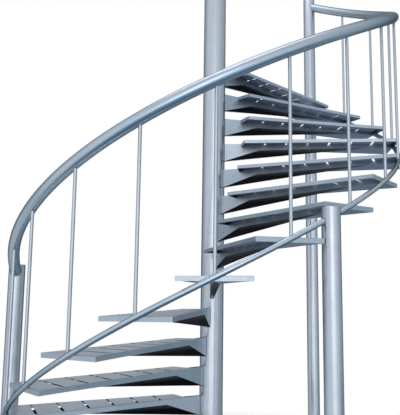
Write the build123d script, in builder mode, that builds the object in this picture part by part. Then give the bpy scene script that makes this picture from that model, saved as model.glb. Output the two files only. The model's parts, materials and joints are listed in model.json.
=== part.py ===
from build123d import *
import os
from math import atan, cos, degrees, pi, radians, sin

# Spiral stair: folded sheet treads on a central column, with a helical string and handrail.
# Lengths in millimetres, angles in degrees, +Z up, origin on the column axis at the floor.

# Layout, with places round the stair counted in steps: tread 1 stands at step 1
rise = 205.0
tread_count = 14
treads_per_turn = 21
first_angle = -175.2
circle_r = 1365.0
start_post_step_count = 1.1
support_post_step_count = 7.63
rear_post_step_count = 14.0
supported_tread = 8

# Tubes and bars
column_r = 84.15
column_wall = 5.0
post_r = 54.0
post_wall = 4.0
rail_r = 36.5
rail_wall = 2.9
string_r = 16.85
string_wall = 2.6
baluster_r = 10.0

# Heights against the tread tops
rail_over_tread = 1040.0
string_under_tread = 7.0
post_over_rail = 65.0

# Tread sheet, measured along the tread (out) and across it (up the stair)
sheet = 4.0
fold_r = 3.0
half_width = 202.0
nosing_inner_out = 237.0
nosing_inner_across = -140.0
plate_rear_out = 200.0
flange_depth = 28.0
lip_depth = 24.0

# Box under the plate: two webs and a keeled soffit, deep in the neck at the column
neck_depth = 133.0
neck_rear_across = 12.0
neck_front_across = -14.0
front_end_across = -20.0
web_kink_out = 345.0
rear_kink_depth = 34.0
front_kink_depth = 50.0
keel_end_margin = 215.0
soffit_upright_t = 6.0

# Slots in the tread plate: lines of three, the two in front parted by a slanting bridge
slot_lines = 6
slot_first_out = 390.0
slot_end_margin = 165.0
slot_width = 17.0
slot_front_shares = (0.20, 0.95)
bridge_line_shares = (0.73, 0.38)
bridge_half_share = 0.09
slot_rear_shares = (0.35, 0.85)

# Base plates and caps
column_plate_r = 150.0
column_plate_t = 12.0
column_bolt_pcr = 120.0
column_bolt_r = 9.0
post_plate_r = 95.0
post_plate_t = 10.0
post_bolt_pcr = 77.0
post_bolt_r = 7.0
bolt_count = 4
bolt_first_angle = 45.0
cap_t = 8.0
cap_edge = 3.0

# Fits
fit_gap = 0.3
overrun = 60.0
cut_half_share = 0.5

# Derived sizes
quarter_turn = 90.0
step = 4 * quarter_turn / treads_per_turn
turn_height = rise * treads_per_turn
pitch_angle = degrees(atan(turn_height / (2 * pi * circle_r)))
keel_end_out = circle_r - keel_end_margin
slot_last_out = circle_r - slot_end_margin
middle = (Align.CENTER, Align.CENTER, Align.MIN)


def angle_at(steps):
    """Plan angle of a place counted in steps."""
    return first_angle + (steps - 1) * step


def plan_at(steps):
    """Plan point on the outer circle at a place counted in steps."""
    angle = radians(angle_at(steps))
    return circle_r * cos(angle), circle_r * sin(angle)


def post_top(steps):
    """Height of a post's top at a place counted in steps."""
    return steps * rise + rail_over_tread + post_over_rail


def between(share, low, high):
    """Value at a share of the way from low to high."""
    return low + share * (high - low)


def across_at(out, line):
    """Across value at a distance out, on a straight line given by its two ends."""
    start, end = line
    return between((out - start[0]) / (end[0] - start[0]), start[1], end[1])


def web_point(out, web, depth):
    """Point on the outer face of a web, at a depth under the tread's top."""
    return out, across_at(out, web), -depth


def run_of(start, end):
    """Length of a plan line."""
    return Vector(end[0] - start[0], end[1] - start[1], 0).length


def upright_plane(start, end):
    """Vertical plane along a plan line: x runs along the line, y runs up."""
    along = Vector(end[0] - start[0], end[1] - start[1], 0)
    return Plane(origin=(start[0], start[1], 0), x_dir=along, z_dir=along.cross(Vector(0, 0, 1)))


def save(part, label):
    part.label = label
    export_step(part, f"parts/{label}.step")


def helix_tube(outer, inner, start_step, end_step, height_over_tread):
    """Tube on the outer circle, following the stair between two places."""
    height = (end_step - start_step) * rise
    with BuildPart() as tube:
        with BuildLine() as path:
            Helix(pitch=turn_height, height=height, radius=circle_r)
        with BuildSketch(Plane(origin=path.line @ 0, z_dir=path.line % 0)):
            Circle(outer)
            if inner:
                Circle(inner, mode=Mode.SUBTRACT)
        sweep(path=path.line, is_frenet=True)
    place = Location((0, 0, start_step * rise + height_over_tread), (0, 0, angle_at(start_step)))
    return tube.part.moved(place)


os.makedirs("parts", exist_ok=True)

# Plan points of one tread, with the tread pointing along +X
outer_front = (circle_r, -half_width)
outer_rear = (circle_r, half_width)
inner_front = (nosing_inner_out, nosing_inner_across)
web_end_out = circle_r - sheet
front_web = ((column_r, neck_front_across), (web_end_out, front_end_across))
rear_web = ((column_r, neck_rear_across), outer_rear)
inner_rear = (plate_rear_out, across_at(plate_rear_out, rear_web))

# Corners along the keel of the tread's soffit
keel_kink_depth = across_at(web_kink_out, ((column_r, neck_depth), (keel_end_out, flange_depth)))
keel_kink = (web_kink_out, 0, -keel_kink_depth)
keel_end = (keel_end_out, 0, -flange_depth)
keel_outer = (web_end_out, 0, -flange_depth)

# Tread before the cuts for string and posts
with BuildPart() as tread:
    with BuildSketch():
        with BuildLine():
            Polyline(outer_front, outer_rear, inner_rear, inner_front, close=True)
        make_face()
    extrude(amount=-sheet)
    # Folded edges: outer end, nosing and inner end
    for start, end, depth, thickness in (
        (outer_front, outer_rear, flange_depth, -sheet),
        (inner_front, outer_front, lip_depth, -sheet),
        (inner_front, inner_rear, lip_depth, sheet),
    ):
        with BuildSketch(upright_plane(start, end)):
            Rectangle(run_of(start, end), depth, align=(Align.MIN, Align.MAX))
        extrude(amount=thickness)
    # Webs: the rear one is folded from the plate, the front one stands under it
    for web, kink_depth, thickness in (
        (front_web, front_kink_depth, -sheet),
        (rear_web, rear_kink_depth, sheet),
    ):
        start, end = web
        run_share = run_of(start, end) / (end[0] - start[0])
        with BuildSketch(upright_plane(start, end)):
            with BuildLine():
                Polyline(
                    (-overrun, 0),
                    (run_of(start, end), 0),
                    (run_of(start, end), -flange_depth),
                    (run_share * (keel_end_out - start[0]), -flange_depth),
                    (run_share * (web_kink_out - start[0]), -kink_depth),
                    (0, -neck_depth),
                    (-overrun, -neck_depth),
                    close=True,
                )
            make_face()
        extrude(amount=thickness)
    # Soffit: flat faces between the webs and a straight keel, closing the box
    neck_corners = [web_point(column_r, web, neck_depth) for web in (front_web, rear_web)]
    soffit = [(*neck_corners, keel_kink)]
    for web, kink_depth in ((front_web, front_kink_depth), (rear_web, rear_kink_depth)):
        neck = web_point(column_r, web, neck_depth)
        kink = web_point(web_kink_out, web, kink_depth)
        shallow = web_point(keel_end_out, web, flange_depth)
        outer = web_point(web_end_out, web, flange_depth)
        soffit += [
            (neck, keel_kink, kink),
            (kink, keel_kink, keel_end),
            (kink, keel_end, shallow),
            (shallow, keel_end, keel_outer, outer),
        ]
    for corners in soffit:
        extrude(Face(Wire.make_polygon(corners)), amount=soffit_upright_t, dir=(0, 0, 1))
    top_edges = tread.edges().group_by(Axis.Z)[-1].sort_by(SortBy.LENGTH)
    fillet(top_edges[-3:], fold_r)
    with Locations((0, 0, -neck_depth - overrun)):
        Cylinder(column_r + fit_gap, neck_depth + 2 * overrun, align=middle, mode=Mode.SUBTRACT)
    with BuildSketch():
        for line in range(slot_lines):
            line_share = line / (slot_lines - 1)
            out = between(line_share, slot_first_out, slot_last_out)
            bridge = between(line_share, bridge_line_shares[0], bridge_line_shares[1])
            nosing = across_at(out, (inner_front, outer_front))
            front = across_at(out, front_web)
            rear = across_at(out, rear_web)
            for low, high, shares in (
                (nosing, front, (slot_front_shares[0], bridge - bridge_half_share)),
                (nosing, front, (bridge + bridge_half_share, slot_front_shares[1])),
                (0, rear, slot_rear_shares),
            ):
                slot_start = between(shares[0], low, high)
                slot_end = between(shares[1], low, high)
                with Locations((out, (slot_start + slot_end) / 2)):
                    Rectangle(slot_width, slot_end - slot_start)
    extrude(amount=-sheet, mode=Mode.SUBTRACT)

# Treads in place, notched round the string and the posts they meet
for number in range(1, tread_count + 1):
    with BuildPart() as placed_tread:
        with Locations(Location((0, 0, number * rise), (0, 0, angle_at(number)))):
            add(tread.part)
        cut_start = max(number - cut_half_share, start_post_step_count)
        cut_end = min(number + cut_half_share, rear_post_step_count)
        if number > 1:
            add(
                helix_tube(string_r + fit_gap, 0, cut_start, cut_end, -string_under_tread),
                mode=Mode.SUBTRACT,
            )
        for post_step in (start_post_step_count, rear_post_step_count):
            if abs(post_step - number) < cut_half_share:
                with Locations(plan_at(post_step)):
                    Cylinder(post_r + fit_gap, post_top(tread_count), align=middle, mode=Mode.SUBTRACT)
    save(placed_tread.part, f"tread_{number:02d}")

# Balusters, coped to the string below and the handrail above
for number in range(1, tread_count - 1):
    tread_number = number + 1
    with BuildPart() as baluster:
        with Locations(Location((0, 0, tread_number * rise), (0, 0, angle_at(tread_number)))):
            with Locations((circle_r, 0, -string_under_tread)):
                Cylinder(baluster_r, rail_over_tread + string_under_tread, align=middle)
            for height, tube_r in ((-string_under_tread, string_r), (rail_over_tread, rail_r)):
                with Locations(Location((circle_r, 0, height), (pitch_angle - quarter_turn, 0, 0))):
                    Cylinder(tube_r + fit_gap, 2 * overrun, mode=Mode.SUBTRACT)
    save(baluster.part, f"baluster_{number:02d}")

# Handrail and string lengths, coped to the posts they run into
whole_run = (start_post_step_count, rear_post_step_count)
lower_run = (start_post_step_count, support_post_step_count)
upper_run = (support_post_step_count, rear_post_step_count)
for label, outer, wall, ends, height in (
    ("handrail", rail_r, rail_wall, whole_run, rail_over_tread),
    ("lower_string", string_r, string_wall, lower_run, -string_under_tread),
    ("upper_string", string_r, string_wall, upper_run, -string_under_tread),
):
    with BuildPart() as tube:
        add(helix_tube(outer, outer - wall, ends[0], ends[1], height))
        for end in ends:
            with Locations(plan_at(end)):
                Cylinder(post_r + fit_gap, post_top(tread_count), align=middle, mode=Mode.SUBTRACT)
    save(tube.part, label)

# Column and posts, each a tube between its base plate and its cap
column_sizes = (column_r, column_wall, column_plate_r, column_plate_t, column_bolt_pcr, column_bolt_r)
post_sizes = (post_r, post_wall, post_plate_r, post_plate_t, post_bolt_pcr, post_bolt_r)
support_top = supported_tread * rise - flange_depth - fit_gap
for label, place, sizes, top in (
    ("column", (0, 0), column_sizes, post_top(rear_post_step_count)),
    ("start_post", plan_at(start_post_step_count), post_sizes, post_top(start_post_step_count)),
    ("support_post", plan_at(support_post_step_count), post_sizes, support_top),
    ("rear_post", plan_at(rear_post_step_count), post_sizes, post_top(rear_post_step_count)),
):
    tube_r, wall, plate_r, plate_t, bolt_pcr, bolt_r = sizes
    with BuildPart() as plate:
        with Locations(place):
            Cylinder(plate_r, plate_t, align=middle)
            with PolarLocations(bolt_pcr, bolt_count, start_angle=bolt_first_angle):
                Cylinder(bolt_r, plate_t, align=middle, mode=Mode.SUBTRACT)
    save(plate.part, f"{label}_base")
    with BuildPart() as post:
        with Locations((*place, plate_t)):
            Cylinder(tube_r, top - cap_t - plate_t, align=middle)
            Cylinder(tube_r - wall, top - cap_t - plate_t, align=middle, mode=Mode.SUBTRACT)
    save(post.part, label)
    with BuildPart() as cap:
        with Locations((*place, top - cap_t)):
            Cylinder(tube_r, cap_t, align=middle)
        chamfer(cap.edges().group_by(Axis.Z)[-1], cap_edge)
    save(cap.part, f"{label}_cap")
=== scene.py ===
import json
import math

import bmesh
import bpy
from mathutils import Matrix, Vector


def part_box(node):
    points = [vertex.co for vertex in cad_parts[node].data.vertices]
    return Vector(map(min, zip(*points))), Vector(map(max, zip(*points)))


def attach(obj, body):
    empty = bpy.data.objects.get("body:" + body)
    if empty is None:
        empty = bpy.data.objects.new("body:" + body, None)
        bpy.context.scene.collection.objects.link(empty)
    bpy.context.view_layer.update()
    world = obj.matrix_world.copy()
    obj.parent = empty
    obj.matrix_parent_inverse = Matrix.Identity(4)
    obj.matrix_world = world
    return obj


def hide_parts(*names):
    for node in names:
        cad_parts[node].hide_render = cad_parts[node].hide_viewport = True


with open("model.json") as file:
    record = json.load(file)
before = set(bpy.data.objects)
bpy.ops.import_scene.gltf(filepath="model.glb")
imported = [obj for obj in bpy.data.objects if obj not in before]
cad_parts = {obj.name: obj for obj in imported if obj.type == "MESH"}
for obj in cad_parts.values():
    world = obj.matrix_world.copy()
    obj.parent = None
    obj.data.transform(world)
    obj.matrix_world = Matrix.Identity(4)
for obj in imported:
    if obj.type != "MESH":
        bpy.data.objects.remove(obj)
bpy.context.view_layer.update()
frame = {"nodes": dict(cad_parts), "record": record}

# View: camera place in metres, angles in degrees, lens values in pixels of the image, sensor in millimetres
image_width = 400
image_height = 415
camera_place = (0.0, -4.371, 1.165)
camera_yaw = 4.453
camera_pitch = 7.857
level_tilt = 90.0
focal_length = 585.27
optical_axis = (258.2, 207.8)
sensor_width = 36.0

# Sizes of the stair that the solids share, in metres
rail_r = 0.0365
string_r = 0.01685
baluster_r = 0.010
rail_over_tread = 1.040
string_under_tread = 0.007
neck_depth = 0.133
neck_front_across = -0.014
neck_rear_across = 0.012
column_plate_t = 0.012
post_plate_t = 0.010
bolt_first_angle = 45.0

# Tread edges, in metres: how far out from the column's axis and how far across the tread's own line
front_end_across = -0.020
rear_end_across = 0.202
nosing_inner_out = 0.237
nosing_inner_across = -0.140
nosing_outer_across = -0.202

# Tread slots, in metres: lines across the plate, each run on behind the nosing and over the front web
slot_lines = 6
slot_first_out = 0.390
slot_end_margin = 0.165
slot_cut_width = 0.0169
slot_cut_depth = 0.0042
slot_cut_over = 0.002
slot_wall_reach = 0.0045
nosing_cut_shares = (0.12, 0.24)
web_cut_shares = (0.90, 0.40)
upright_limit = 0.05
same_point = 0.000001

# Weld beads, in metres
thin_bead_r = 0.0022
thick_bead_r = 0.0035
ripple_length = 0.006
ripple_share = 0.16
bead_sides = 8
bead_step = 0.0015
bead_upright_limit = 0.95

# Anchor bolts: thread radius, width across flats, nut height, washer radius and thickness, stud height
column_anchor = (0.008, 0.024, 0.013, 0.015, 0.003, 0.024)
post_anchor = (0.006, 0.019, 0.010, 0.012, 0.0025, 0.019)
thread_pitch = 0.0018
thread_depth = 0.0009
washer_sides = 40
washer_wall_share = 0.8
washer_top_share = 0.96
nut_sides = 6
nut_face_share = 0.9
nut_chamfer_share = 0.12
stud_sides = 24
stud_tip_share = 0.8
millimetre = 0.001

# Zinc bloom: crystals, clouds and grain to the metre, and their shares of the tone and of the relief
usual_crystals = 70.0
usual_clouds = 6.0
cloud_detail = 5.0
cloud_limits = (0.3, 0.7)
flake_share = 0.35
cloud_share = 0.65
grain_scale = 900.0
flake_relief_share = 0.6

# Masks: widths and reaches in metres, limits as parts of a face's direction or of how open a place is; the
# underside, soffit, corner and hollow masks place painted shade
usual_edge_width = 0.004
edge_limits = (0.995, 0.8)
underside_limits = (-0.1, -0.75)
soffit_lean_limits = (-0.12, -0.2)
soffit_level_limits = (-0.95, -0.85)
corner_reach = 0.12
corner_limits = (0.75, 0.2)
hollow_reach = 0.28
hollow_limits = (0.52, 0.32)
mask_samples = 4

# Coat: shares of each effect, roughness that it adds, and depths in metres; the corner, underside, soffit
# and hollow values are painted shade
coat_metal = 0.88
worn_share = 0.5
worn_lift = 1.2
corner_shade_share = 0.4
underside_shade_share = 0.85
rough_spread = 0.05
dull_rough = 0.10
soffit_rough = 0.2
soffit_fade = (0.03, 0.075)
hollow_shade_colour = (0.02, 0.023, 0.035)
relief_depth = 0.0003

# Floor, in metres
floor_r = 2.6
floor_sides = 96
floor_colour = (0.82, 0.82, 0.83)
floor_rough = 0.9
floor_fade_shares = (0.2, 0.62)

# Studio: white backdrop, grey-blue room, dark ground and a broad light behind the camera
backdrop_colour = (1.0, 1.0, 1.0)
room_colour = (0.35, 0.42, 0.47)
left_wall_colour = (0.62, 0.67, 0.72)
far_wall_colour = (0.14, 0.17, 0.20)
sky_colour = (0.54, 0.58, 0.63)
front_ground_colour = (0.03, 0.08, 0.115)
back_left_colour = (0.62, 0.68, 0.74)
back_right_colour = (0.17, 0.24, 0.31)
low_band_colour = (0.10, 0.33, 0.56)
front_colour = (0.70, 0.75, 0.81)
core_colour = (1.12, 1.16, 1.24)

# Limits of each zone, as parts of the direction: ahead is away from the camera, above is up
back_aside = (-0.35, 0.15)
ground_ahead = (-0.3, 0.35)
ground_above = (-0.35, -0.05)
left_aside = (0.25, 0.6)
left_behind = (-0.25, 0.2)
left_above = (-0.95, -0.6)
far_ahead = (0.3, 0.8)
far_above = (-0.25, -0.08)
sky_above = (0.2, 0.9)
front_behind = (0.05, 0.9)
front_above = (-0.55, -0.15)
band_behind = (0.15, 0.6)
band_above = (-0.9, -0.5)
core_behind = (0.84, 0.985)
core_above = (-0.45, -0.22)
core_fade = (0.1, 0.5)
core_fade_share = 0.7
backdrop_ahead = (0.75, 0.97)
backdrop_above = (0.02, 0.14)
backdrop_share = 0.40

# Directions, sides of a sloping tube and the alpha of a plain colour
UP = Vector((0, 0, 1))
UPPER = 1
LOWER = -1
OPAQUE = 1.0

# Sockets of a colour mix, by place: its share and two colours, and its result
MIX_INPUTS = (0, 6, 7)
MIX_RESULT = 2


# Places on the stair, read from the frame

def centre_of(node):
    """Middle of a node's box."""
    low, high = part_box(node)
    return (low + high) / 2


def plan_angle(point):
    """Angle of a point round the column, seen from above."""
    return math.atan2(point.y, point.x)


tread_names = sorted(name for name in frame["nodes"] if name.startswith("tread_"))
baluster_names = sorted(name for name in frame["nodes"] if name.startswith("baluster_"))
tread_tops = [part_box(name)[1].z for name in tread_names]
rise = tread_tops[1] - tread_tops[0]
circle_r = centre_of(baluster_names[0]).xy.length
step_angle = plan_angle(centre_of(baluster_names[1])) - plan_angle(centre_of(baluster_names[0]))
first_angle = plan_angle(centre_of(baluster_names[0])) - step_angle
slope = math.atan2(rise, circle_r * step_angle)
column_low, column_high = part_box("column")
column_r = (column_high.x - column_low.x) / 2
post_low, post_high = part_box("support_post")
post_r = (post_high.x - post_low.x) / 2


def steps_of(node):
    """Place of an upright node round the stair, counted in steps from tread 1 at step 1."""
    turn = (plan_angle(centre_of(node)) - first_angle) % math.tau
    return 1 + turn / step_angle


def axes_at(steps):
    """Outward and forward directions at a place counted in steps."""
    angle = first_angle + (steps - 1) * step_angle
    out = Vector((math.cos(angle), math.sin(angle), 0))
    return out, Vector((-math.sin(angle), math.cos(angle), 0))


# Mesh tools

def mesh_object(name, mesh):
    """Object from a finished bmesh."""
    bmesh.ops.recalc_face_normals(mesh, faces=mesh.faces)
    data = bpy.data.meshes.new(name)
    mesh.to_mesh(data)
    mesh.free()
    made = bpy.data.objects.new(name, data)
    bpy.context.scene.collection.objects.link(made)
    return made


def dress_piece(piece, finish, smooth):
    """Finish for a piece of the stair, which rides on it."""
    faces = piece.data.polygons
    faces.foreach_set("use_smooth", [smooth] * len(faces))
    piece.data.materials.append(finish)
    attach(piece, "root")


def add_piece(name, mesh, finish, smooth):
    """Piece of the stair from a finished bmesh."""
    dress_piece(mesh_object(name, mesh), finish, smooth)


def cut_away(piece, cutter):
    """Take a cutter out of a piece for good."""
    cut = piece.modifiers.new("cut", "BOOLEAN")
    cut.operation = "DIFFERENCE"
    cut.solver = "EXACT"
    cut.object = cutter
    shape = piece.evaluated_get(bpy.context.evaluated_depsgraph_get())
    piece.data = bpy.data.meshes.new_from_object(shape)
    piece.modifiers.clear()
    bpy.data.objects.remove(cutter)


def skin_rings(mesh, rings, closed):
    """Skin of quads over rings of points, joined end to end or closed by end faces."""
    loops = [[mesh.verts.new(point) for point in ring] for ring in rings]
    pairs = list(zip(loops, loops[1:]))
    if closed:
        pairs.append((loops[-1], loops[0]))
    for low, high in pairs:
        for i in range(len(low)):
            j = (i + 1) % len(low)
            mesh.faces.new((low[i], low[j], high[j], high[i]))
    if not closed:
        mesh.faces.new(loops[0])
        mesh.faces.new(loops[-1])


def add_bead(mesh, path, radius, closed):
    """Weld bead along a path: a round rope whose size swells with each ripple."""
    count = len(path)
    run = 0.0
    rings = []
    for i, point in enumerate(path):
        before = path[i - 1] if closed or i else point
        after = path[(i + 1) % count] if closed or i < count - 1 else point
        along = (after - before).normalized()
        upright = abs(along.z) > bead_upright_limit
        side = along.orthogonal().normalized() if upright else along.cross(UP).normalized()
        other = side.cross(along)
        run += (point - before).length
        swell = radius * (1 + ripple_share * math.cos(math.tau * run / ripple_length))
        ring = []
        for k in range(bead_sides):
            turn = math.tau * k / bead_sides
            ring.append(point + swell * (math.cos(turn) * side + math.sin(turn) * other))
        rings.append(ring)
    skin_rings(mesh, rings, closed)


def turned_rings(centre, profile, sides, lead=0.0):
    """Rings round an upright axis from (radius, height) pairs; a lead makes them climb like a thread."""
    rings = []
    for radius, height in profile:
        ring = []
        for k in range(sides):
            turn = math.tau * k / sides
            lift = height + lead * k / sides
            ring.append(centre + Vector((radius * math.cos(turn), radius * math.sin(turn), lift)))
        rings.append(ring)
    return rings


# Weld lines

def ring_count(radius):
    """Points on a weld line round a tube."""
    return int(math.tau * radius / bead_step)


def foot_line(steps, height, tube_r, side):
    """Closed line where an upright bar meets the upper or lower side of a sloping tube."""
    out, along = axes_at(steps)
    centre = circle_r * out + height * UP
    line = []
    for i in range(ring_count(baluster_r)):
        turn = math.tau * i / ring_count(baluster_r)
        a, b = baluster_r * math.cos(turn), baluster_r * math.sin(turn)
        lift = side * math.sqrt(tube_r ** 2 - a ** 2) + b * math.sin(slope)
        line.append(centre + a * out + b * along + lift / math.cos(slope) * UP)
    return line


def post_line(steps, height, tube_r, side):
    """Closed line where a sloping tube meets a post, on the post's upper or lower side along the climb."""
    out, along = axes_at(steps)
    centre = circle_r * out + height * UP
    line = []
    for i in range(ring_count(tube_r)):
        turn = math.tau * i / ring_count(tube_r)
        a, n = tube_r * math.cos(turn), tube_r * math.sin(turn)
        run = (side * math.sqrt(post_r ** 2 - a ** 2) + n * math.sin(slope)) / math.cos(slope)
        forward = run * math.cos(slope) - n * math.sin(slope)
        line.append(centre + a * out + forward * along + (run * math.sin(slope) + n * math.cos(slope)) * UP)
    return line


def string_line(steps, top):
    """Line on the tread top along the inner side of the string that comes up through it."""
    out, along = axes_at(steps)
    half = string_r / math.sin(slope)
    middle = string_under_tread / math.tan(slope)
    count = int(math.pi * half / bead_step)
    line = []
    for i in range(count + 1):
        turn = math.pi * (i / count - 1 / 2)
        inward = circle_r - string_r * math.cos(turn)
        line.append(inward * out + (middle + half * math.sin(turn)) * along + top * UP)
    return line


def neck_line(steps, top):
    """Line down the front web, under the neck and up the rear web, against the column."""
    out, along = axes_at(steps)
    count = int(neck_depth / bead_step)
    places = [(neck_front_across, -neck_depth * i / count) for i in range(count)]
    across = neck_rear_across - neck_front_across
    bottom = int(across / bead_step)
    places += [(neck_front_across + across * i / bottom, -neck_depth) for i in range(bottom)]
    places += [(neck_rear_across, -neck_depth * (1 - i / count)) for i in range(count)]
    line = []
    for side, drop in places:
        reach = math.sqrt(column_r ** 2 - side ** 2)
        line.append(reach * out + side * along + (top + drop) * UP)
    return line


def seat_line(centre, radius):
    """Circle where a tube stands on its base plate."""
    count = ring_count(radius)
    turns = [math.tau * i / count for i in range(count)]
    return [centre + radius * Vector((math.cos(turn), math.sin(turn), 0)) for turn in turns]


# Shader node tools

def math_node(tree, operation, *values):
    """Result of a math node on values or sockets."""
    node = tree.nodes.new("ShaderNodeMath")
    node.operation = operation
    for socket, value in zip(node.inputs, values):
        if isinstance(value, (int, float)):
            socket.default_value = value
        else:
            tree.links.new(value, socket)
    return node.outputs["Value"]


def ramp_value(tree, value, low, high):
    """Value spread from 0 at low to 1 at high, held outside."""
    node = tree.nodes.new("ShaderNodeMapRange")
    node.interpolation_type = "SMOOTHSTEP"
    tree.links.new(value, node.inputs["Value"])
    node.inputs["From Min"].default_value = low
    node.inputs["From Max"].default_value = high
    return node.outputs["Result"]


def mix_colour(tree, share, first, second):
    """Colour between two colours, plain or from sockets."""
    node = tree.nodes.new("ShaderNodeMix")
    node.data_type = "RGBA"
    for socket, value in zip(MIX_INPUTS, (share, first, second)):
        if isinstance(value, tuple):
            node.inputs[socket].default_value = (*value, OPAQUE)
        else:
            tree.links.new(value, node.inputs[socket])
    return node.outputs[MIX_RESULT]


def new_group(name, inputs, outputs):
    """Empty node group with value sockets, and its two end nodes."""
    group = bpy.data.node_groups.new(name, "ShaderNodeTree")
    for label, value in inputs:
        socket = group.interface.new_socket(label, in_out="INPUT", socket_type="NodeSocketFloat")
        socket.default_value = value
    for label in outputs:
        group.interface.new_socket(label, in_out="OUTPUT", socket_type="NodeSocketFloat")
    return group, group.nodes.new("NodeGroupInput"), group.nodes.new("NodeGroupOutput")


def place_effect(tree, effect, values):
    """Effect group placed in a material with its own values."""
    node = tree.nodes.new("ShaderNodeGroup")
    node.node_tree = effect
    for label, value in values.items():
        node.inputs[label].default_value = value
    return node


# Effects that the finishes share

def zinc_bloom_group():
    """Crystal patches and cloudy bloom of a zinc coat."""
    inputs = [("Crystals per metre", usual_crystals), ("Clouds per metre", usual_clouds)]
    tree, source, sink = new_group("zinc_bloom", inputs, ["Tone", "Height"])
    place = tree.nodes.new("ShaderNodeTexCoord").outputs["Object"]
    crystals = tree.nodes.new("ShaderNodeTexVoronoi")
    clouds = tree.nodes.new("ShaderNodeTexNoise")
    grain = tree.nodes.new("ShaderNodeTexNoise")
    clouds.inputs["Detail"].default_value = cloud_detail
    grain.inputs["Scale"].default_value = grain_scale
    for texture in (crystals, clouds, grain):
        tree.links.new(place, texture.inputs["Vector"])
    tree.links.new(source.outputs["Crystals per metre"], crystals.inputs["Scale"])
    tree.links.new(source.outputs["Clouds per metre"], clouds.inputs["Scale"])
    shade = tree.nodes.new("ShaderNodeSeparateColor")
    tree.links.new(crystals.outputs["Color"], shade.inputs["Color"])
    flakes = math_node(tree, "MULTIPLY", shade.outputs["Red"], flake_share)
    cloud = ramp_value(tree, clouds.outputs["Fac"], *cloud_limits)
    tone = math_node(tree, "ADD", flakes, math_node(tree, "MULTIPLY", cloud, cloud_share))
    tree.links.new(tone, sink.inputs["Tone"])
    flake_relief = math_node(tree, "MULTIPLY", flakes, flake_relief_share)
    height = math_node(tree, "ADD", grain.outputs["Fac"], flake_relief)
    tree.links.new(height, sink.inputs["Height"])
    return tree


def worn_edge_group():
    """Mask that is 1 along sharp edges, where the coat is rubbed bright."""
    tree, source, sink = new_group("worn_edge", [("Width", usual_edge_width)], ["Edge"])
    bevel = tree.nodes.new("ShaderNodeBevel")
    bevel.samples = mask_samples
    tree.links.new(source.outputs["Width"], bevel.inputs["Radius"])
    surface = tree.nodes.new("ShaderNodeNewGeometry")
    turn = tree.nodes.new("ShaderNodeVectorMath")
    turn.operation = "DOT_PRODUCT"
    tree.links.new(bevel.outputs["Normal"], turn.inputs[0])
    tree.links.new(surface.outputs["Normal"], turn.inputs[1])
    tree.links.new(ramp_value(tree, turn.outputs["Value"], *edge_limits), sink.inputs["Edge"])
    return tree


def painted_shade_group():
    """Masks of faces turned to the ground, slanting soffits, corners and hollows, where shade is painted
    into the coat and the coat is made rougher.
    """
    outputs = ["Underside", "Soffit", "Corner", "Hollow"]
    tree, source, sink = new_group("painted_shade_masks", [("Reach", corner_reach)], outputs)
    surface = tree.nodes.new("ShaderNodeNewGeometry")
    parts = tree.nodes.new("ShaderNodeSeparateXYZ")
    tree.links.new(surface.outputs["True Normal"], parts.inputs["Vector"])
    tree.links.new(ramp_value(tree, parts.outputs["Z"], *underside_limits), sink.inputs["Underside"])
    leaning = ramp_value(tree, parts.outputs["Z"], *soffit_lean_limits)
    slanting = ramp_value(tree, parts.outputs["Z"], *soffit_level_limits)
    tree.links.new(math_node(tree, "MULTIPLY", leaning, slanting), sink.inputs["Soffit"])
    openness = tree.nodes.new("ShaderNodeAmbientOcclusion")
    openness.samples = mask_samples
    tree.links.new(source.outputs["Reach"], openness.inputs["Distance"])
    tree.links.new(ramp_value(tree, openness.outputs["AO"], *corner_limits), sink.inputs["Corner"])
    tree.links.new(ramp_value(tree, openness.outputs["AO"], *hollow_limits), sink.inputs["Hollow"])
    return tree


zinc_bloom = zinc_bloom_group()
worn_edge = worn_edge_group()
painted_shade_masks = painted_shade_group()


# Finishes

def soffit_shade_ramp(tree, upper, lower):
    """Painted shade on a box's slanting soffit, from its upper edge down into the dark."""
    place = tree.nodes.new("ShaderNodeTexCoord").outputs["Object"]
    parts = tree.nodes.new("ShaderNodeSeparateXYZ")
    tree.links.new(place, parts.inputs["Vector"])
    over_tread = math_node(tree, "FLOORED_MODULO", parts.outputs["Z"], rise)
    depth = ramp_value(tree, over_tread, rise - soffit_fade[0], rise - soffit_fade[1])
    return mix_colour(tree, depth, upper, lower)


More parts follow.
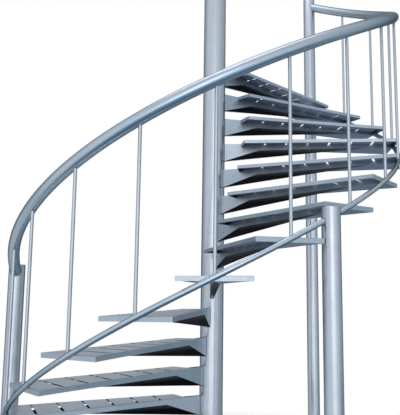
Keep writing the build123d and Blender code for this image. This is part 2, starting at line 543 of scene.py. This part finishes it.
def zinc_finish(
    name, bright, dark, shade_tone, rough, crystals, clouds, bump, edge_width=0.0, rim=None, soffit_shade=None
):
    """Galvanised steel: bloom between two tones, bright worn edges, and painted shade that darkens and
    roughens its undersides, corners and hollows.
    """
    finish = bpy.data.materials.new(name)
    finish.use_nodes = True
    tree = finish.node_tree
    shader = tree.nodes["Principled BSDF"]
    shader.inputs["Metallic"].default_value = coat_metal
    if rim:
        shader.inputs["Specular Tint"].default_value = (*rim, OPAQUE)
    bloom = place_effect(tree, zinc_bloom, {"Crystals per metre": crystals, "Clouds per metre": clouds})
    shade = place_effect(tree, painted_shade_masks, {"Reach": hollow_reach if soffit_shade else corner_reach})
    coat = mix_colour(tree, bloom.outputs["Tone"], dark, bright)
    if edge_width:
        edge = place_effect(tree, worn_edge, {"Width": edge_width})
        worn = math_node(tree, "MULTIPLY", edge.outputs["Edge"], worn_share)
        coat = mix_colour(tree, worn, coat, tuple(min(1.0, level * worn_lift) for level in bright))
    # Painted shade: corners and faces turned to the ground are darkened towards the under colour, and are
    # made rougher.
    corner = math_node(tree, "MULTIPLY", shade.outputs["Corner"], corner_shade_share)
    underside_shade = math_node(tree, "MULTIPLY", shade.outputs["Underside"], underside_shade_share)
    shade_and_dull = math_node(tree, "MAXIMUM", corner, underside_shade)
    coat = mix_colour(tree, shade_and_dull, coat, shade_tone)
    spread = math_node(tree, "MULTIPLY_ADD", bloom.outputs["Tone"], -rough_spread, rough + rough_spread / 2)
    spread = math_node(tree, "MULTIPLY_ADD", shade_and_dull, dull_rough, spread)
    # Painted shade: the slanting soffit is darkened from its upper edge downward, and hollows are painted
    # near black.
    if soffit_shade:
        coat = mix_colour(tree, shade.outputs["Soffit"], coat, soffit_shade_ramp(tree, *soffit_shade))
        coat = mix_colour(tree, shade.outputs["Hollow"], coat, hollow_shade_colour)
        spread = math_node(tree, "MULTIPLY_ADD", shade.outputs["Soffit"], soffit_rough, spread)
    tree.links.new(coat, shader.inputs["Base Color"])
    tree.links.new(spread, shader.inputs["Roughness"])
    relief = tree.nodes.new("ShaderNodeBump")
    relief.inputs["Strength"].default_value = bump
    relief.inputs["Distance"].default_value = relief_depth
    tree.links.new(bloom.outputs["Height"], relief.inputs["Height"])
    tree.links.new(relief.outputs["Normal"], shader.inputs["Normal"])
    return finish


# Each finish's under colour is painted shade for its undersides and corners; the treads' soffit pair paints
# shade on the soffit.
tread_zinc = zinc_finish(
    "tread_zinc",
    bright=(0.60, 0.67, 0.73),
    dark=(0.50, 0.57, 0.63),
    shade_tone=(0.38, 0.39, 0.50),
    rough=0.35,
    crystals=60.0,
    clouds=5.0,
    bump=0.06,
    edge_width=0.004,
    soffit_shade=((0.11, 0.12, 0.13), (0.005, 0.005, 0.006)),
)
# Dark finish that paints the shade inside the slots.
slot_shade_zinc = zinc_finish(
    "slot_shade_zinc",
    bright=(0.10, 0.12, 0.15),
    dark=(0.06, 0.075, 0.095),
    shade_tone=(0.04, 0.05, 0.06),
    rough=0.45,
    crystals=120.0,
    clouds=12.0,
    bump=0.06,
)
post_zinc = zinc_finish(
    "post_zinc",
    bright=(0.72, 0.75, 0.80),
    dark=(0.66, 0.69, 0.745),
    shade_tone=(0.30, 0.33, 0.38),
    rough=0.24,
    crystals=120.0,
    clouds=6.0,
    bump=0.02,
    rim=(0.22, 0.25, 0.28),
)
rail_zinc = zinc_finish(
    "rail_zinc",
    bright=(0.66, 0.72, 0.78),
    dark=(0.62, 0.68, 0.74),
    shade_tone=(0.58, 0.66, 0.72),
    rough=0.22,
    crystals=120.0,
    clouds=7.0,
    bump=0.02,
    rim=(0.22, 0.27, 0.30),
)
string_zinc = zinc_finish(
    "string_zinc",
    bright=(0.70, 0.76, 0.82),
    dark=(0.64, 0.70, 0.76),
    shade_tone=(0.36, 0.47, 0.53),
    rough=0.22,
    crystals=140.0,
    clouds=8.0,
    bump=0.02,
    rim=(0.12, 0.17, 0.20),
)
bar_zinc = zinc_finish(
    "bar_zinc",
    bright=(0.64, 0.68, 0.73),
    dark=(0.60, 0.64, 0.69),
    shade_tone=(0.45, 0.49, 0.54),
    rough=0.26,
    crystals=160.0,
    clouds=9.0,
    bump=0.01,
    rim=(0.26, 0.29, 0.32),
)
plate_zinc = zinc_finish(
    "plate_zinc",
    bright=(0.56, 0.61, 0.67),
    dark=(0.44, 0.49, 0.55),
    shade_tone=(0.25, 0.28, 0.32),
    rough=0.38,
    crystals=60.0,
    clouds=8.0,
    bump=0.12,
    edge_width=0.004,
)
weld_zinc = zinc_finish(
    "weld_zinc",
    bright=(0.52, 0.56, 0.61),
    dark=(0.36, 0.40, 0.45),
    shade_tone=(0.20, 0.23, 0.27),
    rough=0.42,
    crystals=200.0,
    clouds=30.0,
    bump=0.2,
    edge_width=0.001,
)
anchor_zinc = zinc_finish(
    "anchor_zinc",
    bright=(0.62, 0.64, 0.66),
    dark=(0.48, 0.50, 0.52),
    shade_tone=(0.28, 0.29, 0.31),
    rough=0.34,
    crystals=150.0,
    clouds=25.0,
    bump=0.1,
    edge_width=0.0015,
)


def finish_of(node):
    """Finish of a solid, by its name."""
    if node.startswith("tread"):
        return tread_zinc
    if node.startswith("baluster"):
        return bar_zinc
    if node == "handrail":
        return rail_zinc
    if node.endswith("string"):
        return string_zinc
    if node.endswith("base"):
        return plate_zinc
    return post_zinc


for node, solid in frame["nodes"].items():
    for slot in solid.material_slots:
        slot.material = finish_of(node)

# Treads with their slots at full length
slot_last_out = circle_r - slot_end_margin
slot_gap = (slot_last_out - slot_first_out) / (slot_lines - 1)
slot_reaches = [slot_first_out + slot_gap * line for line in range(slot_lines)]
nosing_edge = ((nosing_inner_out, nosing_inner_across), (circle_r, nosing_outer_across))
front_web = ((column_r, neck_front_across), (circle_r, front_end_across))
rear_web = ((column_r, neck_rear_across), (circle_r, rear_end_across))


def across_at(out, edge):
    """Place across a tread of an edge given by its two ends."""
    start, end = edge
    share = (out - start[0]) / (end[0] - start[0])
    return start[1] + share * (end[1] - start[1])


def slot_boxes(steps, top):
    """Boxes that lengthen the slots of each line, behind the nosing and over the front web."""
    out, along = axes_at(steps)
    mesh = bmesh.new()
    for reach in slot_reaches:
        nosing = across_at(reach, nosing_edge)
        span = across_at(reach, front_web) - nosing
        rear = across_at(reach, rear_web)
        for low, high in (
            (nosing + nosing_cut_shares[0] * span, nosing + nosing_cut_shares[1] * span),
            (nosing + web_cut_shares[0] * span, web_cut_shares[1] * rear),
        ):
            rings = []
            for height in (top - slot_cut_depth, top + slot_cut_over):
                ring = []
                for side, across in ((-1, low), (1, low), (1, high), (-1, high)):
                    ring.append((reach + side * slot_cut_width / 2) * out + across * along + height * UP)
                rings.append(ring)
            skin_rings(mesh, rings, closed=False)
    return mesh


def shade_slot_walls(piece, steps, top):
    """Painted shade on the cut edges of the slots: upright faces beside a slot line, within the sheet, get a
    dark finish.
    """
    out = axes_at(steps)[0]
    piece.data.materials.append(slot_shade_zinc)
    shade_index = len(piece.data.materials) - 1
    for face in piece.data.polygons:
        beside = min(abs(face.center.dot(out) - reach) for reach in slot_reaches)
        lowest = min(piece.data.vertices[corner].co.z for corner in face.vertices)
        upright = abs(face.normal.z) < upright_limit
        if upright and beside < slot_cut_width and lowest > top - slot_wall_reach:
            face.material_index = shade_index


for number, name in enumerate(tread_names, start=1):
    top = tread_tops[number - 1]
    mesh = bmesh.new()
    mesh.from_mesh(frame["nodes"][name].data)
    bmesh.ops.remove_doubles(mesh, verts=mesh.verts, dist=same_point)
    piece = mesh_object(name + "_sheet", mesh)
    cut_away(piece, mesh_object(name + "_slots", slot_boxes(number, top)))
    dress_piece(piece, tread_zinc, smooth=False)
    shade_slot_walls(piece, number, top)
    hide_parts(name)

# Baluster welds, foot and head
mesh = bmesh.new()
for number, name in enumerate(baluster_names, start=2):
    string_height = number * rise - string_under_tread
    rail_height = number * rise + rail_over_tread
    add_bead(mesh, foot_line(number, string_height, string_r, UPPER), thin_bead_r, closed=True)
    add_bead(mesh, foot_line(number, rail_height, rail_r, LOWER), thin_bead_r, closed=True)
add_piece("baluster_welds", mesh, weld_zinc, smooth=True)

# Tread welds, at the string and round the neck
mesh = bmesh.new()
for number in range(2, len(tread_names)):
    add_bead(mesh, string_line(number, tread_tops[number - 1]), thin_bead_r, closed=False)
add_piece("string_welds", mesh, weld_zinc, smooth=True)
mesh = bmesh.new()
for number, top in enumerate(tread_tops, start=1):
    add_bead(mesh, neck_line(number, top), thick_bead_r, closed=False)
add_piece("neck_welds", mesh, weld_zinc, smooth=True)

# Post welds, where handrail and strings run into the posts and where tubes stand on their plates
mesh = bmesh.new()
for node, side, tubes in (
    ("start_post", UPPER, ("rail", "string")),
    ("support_post", LOWER, ("string",)),
    ("support_post", UPPER, ("string",)),
    ("rear_post", LOWER, ("rail", "string")),
):
    steps = steps_of(node)
    for tube in tubes:
        if tube == "rail":
            line = post_line(steps, steps * rise + rail_over_tread, rail_r, side)
        else:
            line = post_line(steps, steps * rise - string_under_tread, string_r, side)
        add_bead(mesh, line, thick_bead_r, closed=True)
for node, radius, plate_t in (
    ("column", column_r, column_plate_t),
    ("start_post", post_r, post_plate_t),
    ("support_post", post_r, post_plate_t),
    ("rear_post", post_r, post_plate_t),
):
    place = centre_of(node)
    place.z = plate_t
    add_bead(mesh, seat_line(place, radius), thick_bead_r, closed=True)
add_piece("post_welds", mesh, weld_zinc, smooth=True)


# Anchor bolts in the base plates

def add_anchor(mesh, place, sizes):
    """Washer, nut and threaded stud, standing on a plate."""
    thread_r, flats, nut_height, washer_r, washer_t, stud_height = sizes
    washer = [
        (thread_r, 0.0),
        (washer_r, 0.0),
        (washer_r, washer_t * washer_wall_share),
        (washer_r * washer_top_share, washer_t),
        (thread_r, washer_t),
    ]
    skin_rings(mesh, turned_rings(place, washer, washer_sides), closed=True)
    corner_r = flats / math.sqrt(3)
    face_r = corner_r * nut_face_share
    chamfer = nut_height * nut_chamfer_share
    nut_top = washer_t + nut_height
    nut = [
        (thread_r, washer_t),
        (face_r, washer_t),
        (corner_r, washer_t + chamfer),
        (corner_r, nut_top - chamfer),
        (face_r, nut_top),
        (thread_r, nut_top),
    ]
    skin_rings(mesh, turned_rings(place, nut, nut_sides), closed=True)
    half_pitch = thread_pitch / 2
    count = int((stud_height - washer_t) / half_pitch)
    stud = [(thread_r - thread_depth * (k % 2), washer_t + k * half_pitch) for k in range(count)]
    stud.append((thread_r * stud_tip_share, washer_t + count * half_pitch))
    skin_rings(mesh, turned_rings(place, stud, stud_sides, lead=half_pitch), closed=False)


for mount in frame["record"]["mounts"]:
    if mount["kind"] != "bolt_pattern":
        continue
    sizes = column_anchor if mount["name"].startswith("column") else post_anchor
    count = mount["dims"]["count"]
    reach = mount["dims"]["pcd_mm"] / 2 * millimetre
    mesh = bmesh.new()
    for i in range(count):
        turn = math.radians(bolt_first_angle) + math.tau * i / count
        place = Vector(mount["pos_m"]) + reach * Vector((math.cos(turn), math.sin(turn), 0))
        add_anchor(mesh, place, sizes)
    add_piece(mount["name"].replace("bolts", "anchors"), mesh, anchor_zinc, smooth=False)

# Stage: a pale floor that fades out into a white backdrop
mesh = bmesh.new()
bmesh.ops.create_circle(mesh, cap_ends=True, segments=floor_sides, radius=floor_r)
floor = mesh_object("floor", mesh)
paint = bpy.data.materials.new("floor_paint")
paint.use_nodes = True
tree = paint.node_tree
matt = tree.nodes["Principled BSDF"]
matt.inputs["Base Color"].default_value = (*floor_colour, OPAQUE)
matt.inputs["Roughness"].default_value = floor_rough
clear = tree.nodes.new("ShaderNodeBsdfTransparent")
place = tree.nodes.new("ShaderNodeTexCoord")
length = tree.nodes.new("ShaderNodeVectorMath")
length.operation = "LENGTH"
tree.links.new(place.outputs["Object"], length.inputs[0])
fade_start, fade_end = [floor_r * share for share in floor_fade_shares]
fade = ramp_value(tree, length.outputs["Value"], fade_start, fade_end)
blend = tree.nodes.new("ShaderNodeMixShader")
tree.links.new(fade, blend.inputs["Fac"])
tree.links.new(matt.outputs["BSDF"], blend.inputs[1])
tree.links.new(clear.outputs["BSDF"], blend.inputs[2])
tree.links.new(blend.outputs["Shader"], tree.nodes["Material Output"].inputs["Surface"])
floor.data.materials.append(paint)


# Studio light

def overlap(tree, first, second):
    """Mask of what two masks share."""
    return math_node(tree, "MULTIPLY", first, second)


def rest_of(tree, mask):
    """Mask of what a mask leaves out."""
    return math_node(tree, "SUBTRACT", 1.0, mask)


def zone(tree, *edges):
    """Mask of a part of the room, from pairs of a direction's part and the limits of its soft edge."""
    masks = [ramp_value(tree, part, *limits) for part, limits in edges]
    shared = masks[0]
    for mask in masks[1:]:
        shared = overlap(tree, shared, mask)
    return shared


world = bpy.data.worlds.new("studio")
bpy.context.scene.world = world
world.use_nodes = True
tree = world.node_tree
look = tree.nodes.new("ShaderNodeTexCoord").outputs["Generated"]
parts = tree.nodes.new("ShaderNodeSeparateXYZ")
tree.links.new(look, parts.inputs["Vector"])
right, ahead, above = parts.outputs["X"], parts.outputs["Y"], parts.outputs["Z"]
left = math_node(tree, "MULTIPLY", right, -1.0)
behind = math_node(tree, "MULTIPLY", ahead, -1.0)
ground = mix_colour(tree, zone(tree, (right, back_aside)), back_left_colour, back_right_colour)
ground = mix_colour(tree, zone(tree, (ahead, ground_ahead)), front_ground_colour, ground)
band = zone(tree, (behind, band_behind), (above, band_above))
ground = mix_colour(tree, band, ground, low_band_colour)
room = mix_colour(tree, zone(tree, (above, ground_above)), ground, room_colour)
left_wall = zone(tree, (left, left_aside), (behind, left_behind), (above, left_above))
room = mix_colour(tree, left_wall, room, left_wall_colour)
far_wall = zone(tree, (ahead, far_ahead), (above, far_above))
room = mix_colour(tree, far_wall, room, far_wall_colour)
sky = zone(tree, (above, sky_above))
room = mix_colour(tree, sky, room, sky_colour)
front = overlap(tree, zone(tree, (behind, front_behind), (above, front_above)), rest_of(tree, sky))
room = mix_colour(tree, front, room, front_colour)
core_top = math_node(tree, "MULTIPLY", zone(tree, (above, core_fade)), core_fade_share)
core = overlap(tree, zone(tree, (behind, core_behind), (above, core_above)), rest_of(tree, core_top))
room = mix_colour(tree, core, room, core_colour)
backdrop = zone(tree, (ahead, backdrop_ahead), (above, backdrop_above))
path = tree.nodes.new("ShaderNodeLightPath")
mirrored = math_node(tree, "ADD", path.outputs["Is Glossy Ray"], path.outputs["Is Transmission Ray"])
mirrored = overlap(tree, mirrored, math_node(tree, "MULTIPLY", backdrop, backdrop_share))
seen = math_node(tree, "MAXIMUM", path.outputs["Is Camera Ray"], mirrored)
studio = mix_colour(tree, seen, room, backdrop_colour)
tree.links.new(studio, tree.nodes["Background"].inputs["Color"])


def add_softbox(name, place, aim, width, height, power, colour):
    """Broad lamp at a place, turned to what it lights."""
    lamp = bpy.data.lights.new(name, "AREA")
    lamp.shape = "RECTANGLE"
    lamp.size = width
    lamp.size_y = height
    lamp.energy = power
    lamp.color = colour
    box = bpy.data.objects.new(name, lamp)
    box.location = place
    box.rotation_euler = (Vector(aim) - Vector(place)).to_track_quat("-Z", "Y").to_euler()
    bpy.context.scene.collection.objects.link(box)


add_softbox(
    "front_softbox",
    place=(0.2, -6.5, 2.6),
    aim=(0, 0, 1.6),
    width=2.2,
    height=3.4,
    power=9,
    colour=(0.95, 0.97, 1.0),
)
add_softbox(
    "top_softbox",
    place=(-0.6, -0.8, 6.5),
    aim=(0, 0, 0),
    width=4.0,
    height=4.0,
    power=45,
    colour=(0.97, 0.98, 1.0),
)

# Camera at the photograph's view
camera_data = bpy.data.cameras.new("camera")
camera_data.sensor_width = sensor_width
camera_data.lens = focal_length / image_height * sensor_width
camera_data.shift_x = (image_width / 2 - optical_axis[0]) / image_height
camera_data.shift_y = (optical_axis[1] - image_height / 2) / image_height
camera = bpy.data.objects.new("camera", camera_data)
camera.location = camera_place
camera.rotation_euler = (math.radians(level_tilt + camera_pitch), 0, -math.radians(camera_yaw))
bpy.context.scene.collection.objects.link(camera)
bpy.context.scene.camera = camera
bpy.context.scene.view_settings.view_transform = "Standard"
